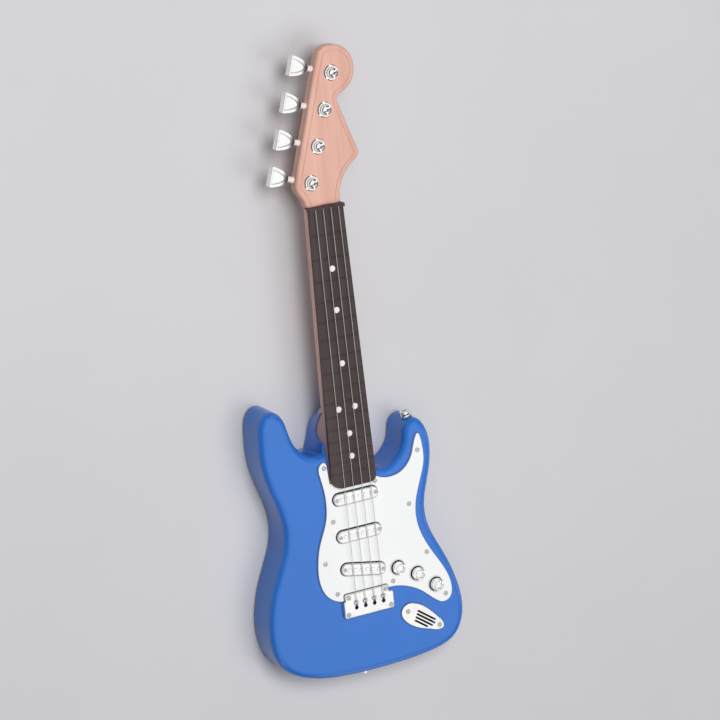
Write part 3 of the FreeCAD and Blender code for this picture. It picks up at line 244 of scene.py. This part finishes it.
def woven_cone(name):
    """Black pressed pulp."""
    m = Mat(name)
    pulp = [(0.3, (0.015, 0.015, 0.016)), (0.7, (0.05, 0.05, 0.052))]
    m.link(m.ramp(m.noise(700.0, detail=5.0), pulp), "Base Color")
    m.link(m.remap(m.noise(500.0), 0.3, 0.7, 0.7, 0.95), "Roughness")
    m.link(m.bump(m.noise(900.0, detail=4.0), 0.5, 0.0002), "Normal")
    return m.mat


def cell_jacket(name):
    """Plain dark battery sleeve under a clear coat."""
    m = Mat(name)
    sleeve = [(0.3, (0.02, 0.02, 0.024)), (0.7, (0.035, 0.035, 0.04))]
    m.link(m.ramp(m.noise(40.0), sleeve), "Base Color")
    m.link(m.remap(m.noise(300.0), 0.3, 0.7, 0.2, 0.35), "Roughness")
    m.link(m.bump(m.noise(120.0, detail=1.0), 0.1, 0.0005), "Normal")
    m.set(Metallic=0.3, Coat_Weight=0.5, Coat_Roughness=0.1)
    return m.mat


LOOKS = {
    "blue": moulded("blue_gloss_plastic", (0.020, 0.148, 0.545), rough=0.22, vary=0.03, coat=0.15),
    "white": moulded("white_gloss_plastic", (0.83, 0.84, 0.84), rough=0.16, vary=0.012, coat=0.2,
                     sub=0.05),
    "neck": neck_wood_look("neck_wood_look_plastic"),
    "board": rosewood_look("fretboard_plastic"),
    "dots": moulded("pearl_inlay_plastic", (0.74, 0.72, 0.71), rough=0.25, vary=0.06),
    "chrome": plated("vacuum_chrome"),
    "silver": plated("vacuum_silver", (0.90, 0.90, 0.875), rough=0.14, wave=0.06),
    "screw": plain_metal("plated_screw_steel", (0.66, 0.65, 0.62), 0.26),
    "string": wound_string("string_steel"),
    "black": moulded("black_satin_plastic", (0.022, 0.022, 0.024), rough=0.42, vary=0.1),
    "pcb": circuit_board("circuit_board_green"),
    "chip": moulded("chip_resin", (0.02, 0.02, 0.022), rough=0.35, vary=0.2),
    "silicone": moulded("silicone_rubber", (0.62, 0.62, 0.6), rough=0.6, vary=0.03, sub=0.2),
    "cone": woven_cone("speaker_cone_pulp"),
    "cell": cell_jacket("battery_sleeve"),
    "nickel": plain_metal("nickel_plate", (0.72, 0.70, 0.65), 0.22),
    "magnet": plain_metal("zinc_plated_steel", (0.60, 0.60, 0.60), 0.35),
    "wire": moulded("wire_insulation_red", (0.42, 0.035, 0.03), rough=0.4, vary=0.06),
    "collar": moulded("bushing_plastic", (0.84, 0.70, 0.66), rough=0.3, vary=0.03, sub=0.1),
}


NODES_OF_LOOK = {
    "blue": ("body_front_shell", "body_back_shell", "battery_door"),
    "white": ("pickguard",),
    "neck": ("neck_shell", "headstock_face"),
    "board": ("fretboard", "nut"),
    "dots": ("fret_markers",),
    "collar": ("tuner_bushings",),
    "chrome": ("tuner_posts", "tuner_knob"),
    "silver": ("strap_button_horn", "strap_button_end", "pickup_pole_pieces", "bridge_plate",
               "grille_plate", "push_button", "pickup_cover"),
    "black": ("string_anchor", "battery_tray"),
    "pcb": ("main_pcb", "button_pcb"),
    "chip": ("main_pcb_parts",),
    "magnet": ("speaker_frame", "speaker_magnet"),
    "cone": ("speaker_cone",),
    "nickel": ("battery_contacts", "battery_springs"),
    "string": ("string_",),
    "silicone": ("button_dome",),
    "cell": ("battery_cell",),
    "wire": ("battery_wires", "speaker_wires", "button_wires"),
}


def look_of(node):
    """Look whose longest listed name starts the node's name; screws have their own."""
    if "screw" in node:
        return "screw"
    best, look = "", "screw"
    for candidate, starts in NODES_OF_LOOK.items():
        for start in starts:
            if node.startswith(start) and len(start) > len(best):
                best, look = start, candidate
    return look


def dress(obj, look):
    obj.data.materials.clear()
    obj.data.materials.append(LOOKS[look])


for name, obj in NODES.items():
    dress(obj, look_of(name))


# ---------------------------------------------------------------- stage
FLOOR_HALF = 6.0
FLOOR_DROP = 0.0004     # keeps the paper just clear of the body's back


def make_floor():
    h = FLOOR_HALF
    mesh = bpy.data.meshes.new("floor")
    mesh.from_pydata([(-h, -h, 0), (h, -h, 0), (h, h, 0), (-h, h, 0)], [], [(0, 1, 2, 3)])
    floor = bpy.data.objects.new("floor", mesh)
    floor.location.z = -FLOOR_DROP
    bpy.context.scene.collection.objects.link(floor)
    m = Mat("floor_paper")
    paper = [(0.3, (0.585, 0.58, 0.60)), (0.7, (0.61, 0.605, 0.625))]
    m.link(m.ramp(m.noise(3.0), paper), "Base Color")
    m.set(Roughness=0.9)
    floor.data.materials.append(m.mat)


def dome_shader(tree, height, strength, stops):
    """Background whose grey follows the height of the ray above the horizon."""
    ramp = tree.nodes.new("ShaderNodeValToRGB")
    tree.links.new(height, ramp.inputs[0])
    while len(ramp.color_ramp.elements) < len(stops):
        ramp.color_ramp.elements.new(0.5)
    for e, (at, v) in zip(ramp.color_ramp.elements, stops):
        e.position, e.color = at, (v, v, v * 1.01, 1)
    back = tree.nodes.new("ShaderNodeBackground")
    tree.links.new(ramp.outputs[0], back.inputs["Color"])
    back.inputs["Strength"].default_value = strength
    return back


# Grey of the two domes against the height of the ray, 0 at the horizon and 1 overhead.
LIGHT_DOME = [(0.0, 0.02), (0.30, 0.04), (0.55, 0.18), (0.75, 0.9), (1.0, 1.0)]
MIRROR_DOME = [(0.0, 0.05), (0.22, 0.015), (0.30, 0.02), (0.34, 1.0), (0.39, 1.0), (0.43, 0.02),
               (0.58, 0.03), (0.70, 0.15), (0.80, 0.46)]
BACKDROP = (0.93, 0.935, 0.945, 1)


def make_world():
    """Studio dome for light, a contrastier one for reflections, and a plain backdrop."""
    world = bpy.data.worlds.new("studio")
    bpy.context.scene.world = world
    world.use_nodes = True
    tree = world.node_tree
    out = tree.nodes["World Output"]
    tree.nodes.remove(tree.nodes["Background"])
    coord = tree.nodes.new("ShaderNodeTexCoord")
    split = tree.nodes.new("ShaderNodeSeparateXYZ")
    tree.links.new(coord.outputs["Generated"], split.inputs[0])
    height = split.outputs["Z"]
    light = dome_shader(tree, height, 0.60, LIGHT_DOME)
    mirror = dome_shader(tree, height, 2.4, MIRROR_DOME)
    seen = tree.nodes.new("ShaderNodeBackground")
    seen.inputs["Color"].default_value = BACKDROP
    path = tree.nodes.new("ShaderNodeLightPath")
    shader = light
    for kind, other in (("Is Glossy Ray", mirror), ("Is Camera Ray", seen)):
        mix = tree.nodes.new("ShaderNodeMixShader")
        tree.links.new(path.outputs[kind], mix.inputs[0])
        tree.links.new(shader.outputs[0], mix.inputs[1])
        tree.links.new(other.outputs[0], mix.inputs[2])
        shader = mix
    tree.links.new(shader.outputs[0], out.inputs["Surface"])


def softbox(name, at, size, power):
    """Square area light aimed at the guitar, not seen in reflections."""
    data = bpy.data.lights.new(name, "AREA")
    data.shape, data.size, data.size_y = "RECTANGLE", size, size
    data.energy = power
    lamp = bpy.data.objects.new(name, data)
    bpy.context.scene.collection.objects.link(lamp)
    lamp.location = at
    lamp.rotation_mode = "QUATERNION"
    lamp.rotation_quaternion = (-Vector(at)).normalized().to_track_quat("-Z", "Y")
    lamp.visible_glossy = False


def make_lights():
    softbox("key_softbox", (-0.25, 0.75, 2.0), 0.9, 27.0)
    softbox("front_softbox", (0.7, -0.4, 2.1), 1.2, 12.0)
    scene = bpy.context.scene
    scene.view_settings.view_transform = "Standard"
    scene.view_settings.look = "None"


make_floor()
make_world()
make_lights()
